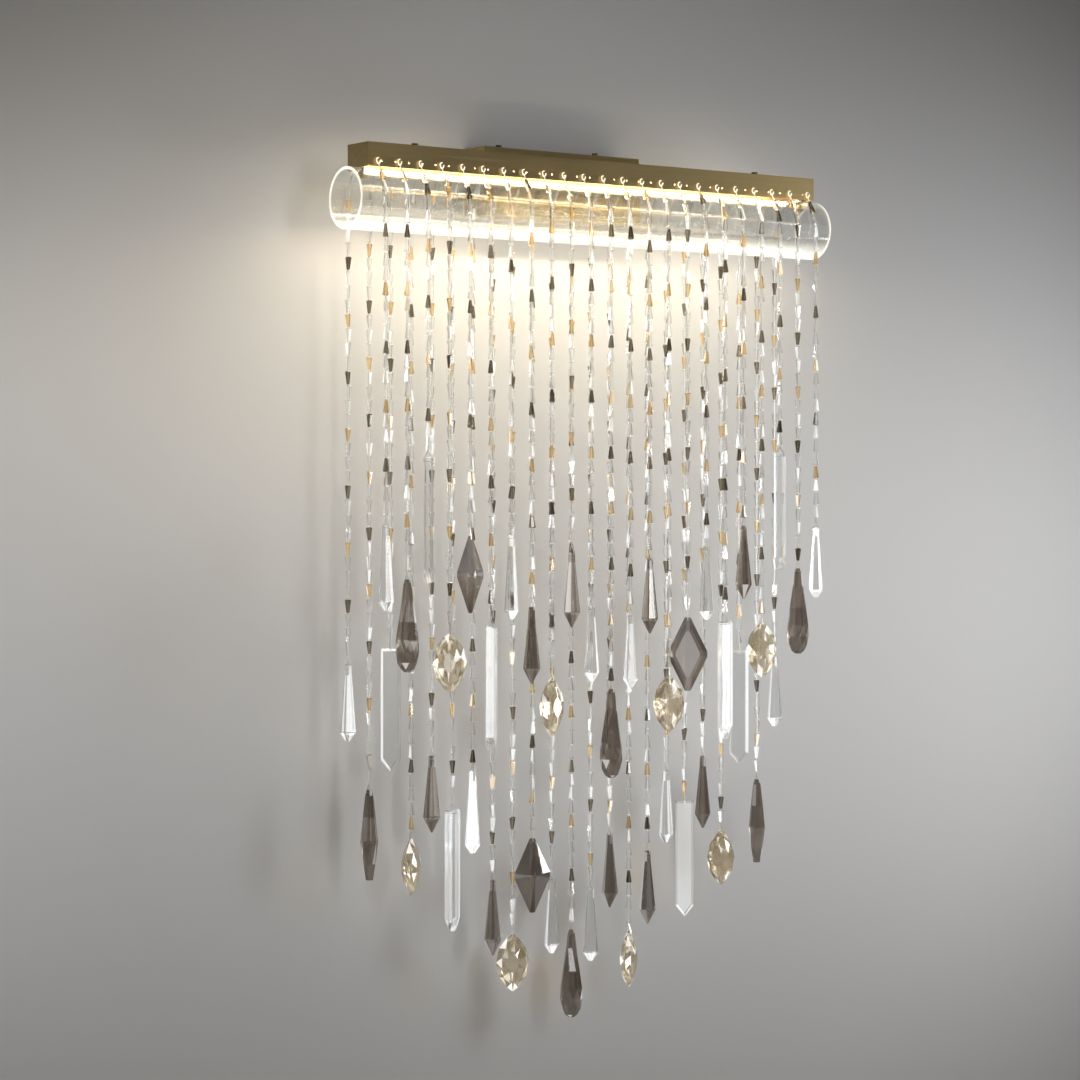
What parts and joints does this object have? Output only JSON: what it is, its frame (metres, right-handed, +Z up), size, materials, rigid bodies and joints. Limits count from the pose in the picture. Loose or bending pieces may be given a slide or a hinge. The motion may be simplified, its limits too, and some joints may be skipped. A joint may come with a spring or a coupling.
{
  "type": "crystal wall sconce",
  "caption": "Wall sconce: a brass rail with a glass tube beneath it carries two rows of hanging beaded crystal strands, each with a cut pendant, lit by a hidden light strip.",
  "frame": {"origin": "centre of the wall bracket's back face, in the wall plane", "axes": "+X along the rail to the viewer's right, +Y into the wall, +Z up"},
  "size_m": [0.63, 0.1418, 0.9575],
  "materials": {
    "brass": "satin, slightly aged brass",
    "steel": "zinc-plated sheet steel",
    "dark_screw": "burnished dark screw heads",
    "aluminium": "plain extruded bar",
    "driver_case": "white moulded case",
    "light_board": "white circuit board with warm light sources",
    "soft_washer": "translucent silicone",
    "glass": "clear drawn glass tube",
    "clear_crystal": "colourless cut crystal",
    "smoke_crystal": "smoke-brown cut crystal",
    "champagne_crystal": "champagne-gold cut crystal",
    "bead_wire": "thin polished wire rings and bails"
  },
  "bodies": {
    "fixture": {"canopy": "brass", "canopy_screws": "dark_screw", "carrier_screws": "dark_screw", "frame_screws": "steel", "glass_tube": "glass", "hook_pins": "brass", "led_carrier": "aluminium", "led_driver": "driver_case", "led_strip": "light_board", "rail": "brass", "support_arms": "brass", "tube_knobs": "brass", "tube_washers": "soft_washer", "wall_bracket": "steel"},
    "front_01": {"front_strand_01": "clear_crystal"},
    "front_02": {"front_strand_02": "smoke_crystal"},
    "front_03": {"front_strand_03": "clear_crystal"},
    "front_04": {"front_strand_04": "champagne_crystal"},
    "front_05": {"front_strand_05": "smoke_crystal"},
    "front_06": {"front_strand_06": "clear_crystal"},
    "front_07": {"front_strand_07": "clear_crystal"},
    "front_08": {"front_strand_08": "smoke_crystal"},
    "front_09": {"front_strand_09": "champagne_crystal"},
    "front_10": {"front_strand_10": "smoke_crystal"},
    "front_11": {"front_strand_11": "clear_crystal"},
    "front_12": {"front_strand_12": "smoke_crystal"},
    "front_13": {"front_strand_13": "clear_crystal"},
    "front_14": {"front_strand_14": "smoke_crystal"},
    "front_15": {"front_strand_15": "champagne_crystal"},
    "front_16": {"front_strand_16": "smoke_crystal"},
    "front_17": {"front_strand_17": "clear_crystal"},
    "front_18": {"front_strand_18": "clear_crystal"},
    "front_19": {"front_strand_19": "smoke_crystal"},
    "front_20": {"front_strand_20": "champagne_crystal"},
    "front_21": {"front_strand_21": "clear_crystal"},
    "front_22": {"front_strand_22": "smoke_crystal"},
    "front_23": {"front_strand_23": "clear_crystal"},
    "rear_01": {"rear_strand_01": "clear_crystal"},
    "rear_02": {"rear_strand_02": "smoke_crystal"},
    "rear_03": {"rear_strand_03": "clear_crystal"},
    "rear_04": {"rear_strand_04": "champagne_crystal"},
    "rear_05": {"rear_strand_05": "smoke_crystal"},
    "rear_06": {"rear_strand_06": "clear_crystal"},
    "rear_07": {"rear_strand_07": "clear_crystal"},
    "rear_08": {"rear_strand_08": "smoke_crystal"},
    "rear_09": {"rear_strand_09": "champagne_crystal"},
    "rear_10": {"rear_strand_10": "smoke_crystal"},
    "rear_11": {"rear_strand_11": "clear_crystal"},
    "rear_12": {"rear_strand_12": "smoke_crystal"},
    "rear_13": {"rear_strand_13": "clear_crystal"},
    "rear_14": {"rear_strand_14": "smoke_crystal"},
    "rear_15": {"rear_strand_15": "champagne_crystal"},
    "rear_16": {"rear_strand_16": "smoke_crystal"},
    "rear_17": {"rear_strand_17": "clear_crystal"},
    "rear_18": {"rear_strand_18": "clear_crystal"},
    "rear_19": {"rear_strand_19": "smoke_crystal"},
    "rear_20": {"rear_strand_20": "champagne_crystal"},
    "rear_21": {"rear_strand_21": "clear_crystal"},
    "rear_22": {"rear_strand_22": "smoke_crystal"},
    "rear_23": {"rear_strand_23": "clear_crystal"}
  },
  "joints": [
    {"name": "front_swing_01", "type": "hinge", "parent": "fixture", "child": "front_01", "pos_m": [-0.28908, -0.1144, 0.004], "axis": [-1, 0, 0], "range_deg": [0, 20]},
    {"name": "front_swing_02", "type": "hinge", "parent": "fixture", "child": "front_02", "pos_m": [-0.2628, -0.1144, 0.004], "axis": [-1, 0, 0], "range_deg": [0, 20]},
    {"name": "front_swing_03", "type": "hinge", "parent": "fixture", "child": "front_03", "pos_m": [-0.23652, -0.1144, 0.004], "axis": [-1, 0, 0], "range_deg": [0, 20]},
    {"name": "front_swing_04", "type": "hinge", "parent": "fixture", "child": "front_04", "pos_m": [-0.21024, -0.1144, 0.004], "axis": [-1, 0, 0], "range_deg": [0, 20]},
    {"name": "front_swing_05", "type": "hinge", "parent": "fixture", "child": "front_05", "pos_m": [-0.18396, -0.1144, 0.004], "axis": [-1, 0, 0], "range_deg": [0, 20]},
    {"name": "front_swing_06", "type": "hinge", "parent": "fixture", "child": "front_06", "pos_m": [-0.15768, -0.1144, 0.004], "axis": [-1, 0, 0], "range_deg": [0, 20]},
    {"name": "front_swing_07", "type": "hinge", "parent": "fixture", "child": "front_07", "pos_m": [-0.1314, -0.1144, 0.004], "axis": [-1, 0, 0], "range_deg": [0, 20]},
    {"name": "front_swing_08", "type": "hinge", "parent": "fixture", "child": "front_08", "pos_m": [-0.10512, -0.1144, 0.004], "axis": [-1, 0, 0], "range_deg": [0, 20]},
    {"name": "front_swing_09", "type": "hinge", "parent": "fixture", "child": "front_09", "pos_m": [-0.07884, -0.1144, 0.004], "axis": [-1, 0, 0], "range_deg": [0, 20]},
    {"name": "front_swing_10", "type": "hinge", "parent": "fixture", "child": "front_10", "pos_m": [-0.05256, -0.1144, 0.004], "axis": [-1, 0, 0], "range_deg": [0, 20]},
    {"name": "front_swing_11", "type": "hinge", "parent": "fixture", "child": "front_11", "pos_m": [-0.02628, -0.1144, 0.004], "axis": [-1, 0, 0], "range_deg": [0, 20]},
    {"name": "front_swing_12", "type": "hinge", "parent": "fixture", "child": "front_12", "pos_m": [0, -0.1144, 0.004], "axis": [-1, 0, 0], "range_deg": [0, 20]},
    {"name": "front_swing_13", "type": "hinge", "parent": "fixture", "child": "front_13", "pos_m": [0.02628, -0.1144, 0.004], "axis": [-1, 0, 0], "range_deg": [0, 20]},
    {"name": "front_swing_14", "type": "hinge", "parent": "fixture", "child": "front_14", "pos_m": [0.05256, -0.1144, 0.004], "axis": [-1, 0, 0], "range_deg": [0, 20]},
    {"name": "front_swing_15", "type": "hinge", "parent": "fixture", "child": "front_15", "pos_m": [0.07884, -0.1144, 0.004], "axis": [-1, 0, 0], "range_deg": [0, 20]},
    {"name": "front_swing_16", "type": "hinge", "parent": "fixture", "child": "front_16", "pos_m": [0.10512, -0.1144, 0.004], "axis": [-1, 0, 0], "range_deg": [0, 20]},
    {"name": "front_swing_17", "type": "hinge", "parent": "fixture", "child": "front_17", "pos_m": [0.1314, -0.1144, 0.004], "axis": [-1, 0, 0], "range_deg": [0, 20]},
    {"name": "front_swing_18", "type": "hinge", "parent": "fixture", "child": "front_18", "pos_m": [0.15768, -0.1144, 0.004], "axis": [-1, 0, 0], "range_deg": [0, 20]},
    {"name": "front_swing_19", "type": "hinge", "parent": "fixture", "child": "front_19", "pos_m": [0.18396, -0.1144, 0.004], "axis": [-1, 0, 0], "range_deg": [0, 20]},
    {"name": "front_swing_20", "type": "hinge", "parent": "fixture", "child": "front_20", "pos_m": [0.21024, -0.1144, 0.004], "axis": [-1, 0, 0], "range_deg": [0, 20]},
    {"name": "front_swing_21", "type": "hinge", "parent": "fixture", "child": "front_21", "pos_m": [0.23652, -0.1144, 0.004], "axis": [-1, 0, 0], "range_deg": [0, 20]},
    {"name": "front_swing_22", "type": "hinge", "parent": "fixture", "child": "front_22", "pos_m": [0.2628, -0.1144, 0.004], "axis": [-1, 0, 0], "range_deg": [0, 20]},
    {"name": "front_swing_23", "type": "hinge", "parent": "fixture", "child": "front_23", "pos_m": [0.28908, -0.1144, 0.004], "axis": [-1, 0, 0], "range_deg": [0, 20]},
    {"name": "rear_swing_01", "type": "hinge", "parent": "fixture", "child": "rear_01", "pos_m": [-0.28908, -0.0696, 0.004], "axis": [1, 0, 0], "range_deg": [0, 4.4]},
    {"name": "rear_swing_02", "type": "hinge", "parent": "fixture", "child": "rear_02", "pos_m": [-0.2628, -0.0696, 0.004], "axis": [1, 0, 0], "range_deg": [0, 3.4]},
    {"name": "rear_swing_03", "type": "hinge", "parent": "fixture", "child": "rear_03", "pos_m": [-0.23652, -0.0696, 0.004], "axis": [1, 0, 0], "range_deg": [0, 4.1]},
    {"name": "rear_swing_04", "type": "hinge", "parent": "fixture", "child": "rear_04", "pos_m": [-0.21024, -0.0696, 0.004], "axis": [1, 0, 0], "range_deg": [0, 3.1]},
    {"name": "rear_swing_05", "type": "hinge", "parent": "fixture", "child": "rear_05", "pos_m": [-0.18396, -0.0696, 0.004], "axis": [1, 0, 0], "range_deg": [0, 3.6]},
    {"name": "rear_swing_06", "type": "hinge", "parent": "fixture", "child": "rear_06", "pos_m": [-0.15768, -0.0696, 0.004], "axis": [1, 0, 0], "range_deg": [0, 3.2]},
    {"name": "rear_swing_07", "type": "hinge", "parent": "fixture", "child": "rear_07", "pos_m": [-0.1314, -0.0696, 0.004], "axis": [1, 0, 0], "range_deg": [0, 3.6]},
    {"name": "rear_swing_08", "type": "hinge", "parent": "fixture", "child": "rear_08", "pos_m": [-0.10512, -0.0696, 0.004], "axis": [1, 0, 0], "range_deg": [0, 3]},
    {"name": "rear_swing_09", "type": "hinge", "parent": "fixture", "child": "rear_09", "pos_m": [-0.07884, -0.0696, 0.004], "axis": [1, 0, 0], "range_deg": [0, 2.7]},
    {"name": "rear_swing_10", "type": "hinge", "parent": "fixture", "child": "rear_10", "pos_m": [-0.05256, -0.0696, 0.004], "axis": [1, 0, 0], "range_deg": [0, 3.4]},
    {"name": "rear_swing_11", "type": "hinge", "parent": "fixture", "child": "rear_11", "pos_m": [-0.02628, -0.0696, 0.004], "axis": [1, 0, 0], "range_deg": [0, 3.1]},
    {"name": "rear_swing_12", "type": "hinge", "parent": "fixture", "child": "rear_12", "pos_m": [0, -0.0696, 0.004], "axis": [1, 0, 0], "range_deg": [0, 2.6]},
    {"name": "rear_swing_13", "type": "hinge", "parent": "fixture", "child": "rear_13", "pos_m": [0.02628, -0.0696, 0.004], "axis": [1, 0, 0], "range_deg": [0, 3]},
    {"name": "rear_swing_14", "type": "hinge", "parent": "fixture", "child": "rear_14", "pos_m": [0.05256, -0.0696, 0.004], "axis": [1, 0, 0], "range_deg": [0, 3.2]},
    {"name": "rear_swing_15", "type": "hinge", "parent": "fixture", "child": "rear_15", "pos_m": [0.07884, -0.0696, 0.004], "axis": [1, 0, 0], "range_deg": [0, 2.7]},
    {"name": "rear_swing_16", "type": "hinge", "parent": "fixture", "child": "rear_16", "pos_m": [0.10512, -0.0696, 0.004], "axis": [1, 0, 0], "range_deg": [0, 3.1]},
    {"name": "rear_swing_17", "type": "hinge", "parent": "fixture", "child": "rear_17", "pos_m": [0.1314, -0.0696, 0.004], "axis": [1, 0, 0], "range_deg": [0, 3.6]},
    {"name": "rear_swing_18", "type": "hinge", "parent": "fixture", "child": "rear_18", "pos_m": [0.15768, -0.0696, 0.004], "axis": [1, 0, 0], "range_deg": [0, 3.2]},
    {"name": "rear_swing_19", "type": "hinge", "parent": "fixture", "child": "rear_19", "pos_m": [0.18396, -0.0696, 0.004], "axis": [1, 0, 0], "range_deg": [0, 3.6]},
    {"name": "rear_swing_20", "type": "hinge", "parent": "fixture", "child": "rear_20", "pos_m": [0.21024, -0.0696, 0.004], "axis": [1, 0, 0], "range_deg": [0, 3.2]},
    {"name": "rear_swing_21", "type": "hinge", "parent": "fixture", "child": "rear_21", "pos_m": [0.23652, -0.0696, 0.004], "axis": [1, 0, 0], "range_deg": [0, 4]},
    {"name": "rear_swing_22", "type": "hinge", "parent": "fixture", "child": "rear_22", "pos_m": [0.2628, -0.0696, 0.004], "axis": [1, 0, 0], "range_deg": [0, 3.3]},
    {"name": "rear_swing_23", "type": "hinge", "parent": "fixture", "child": "rear_23", "pos_m": [0.28908, -0.0696, 0.004], "axis": [1, 0, 0], "range_deg": [0, 4.3]}
  ]
}
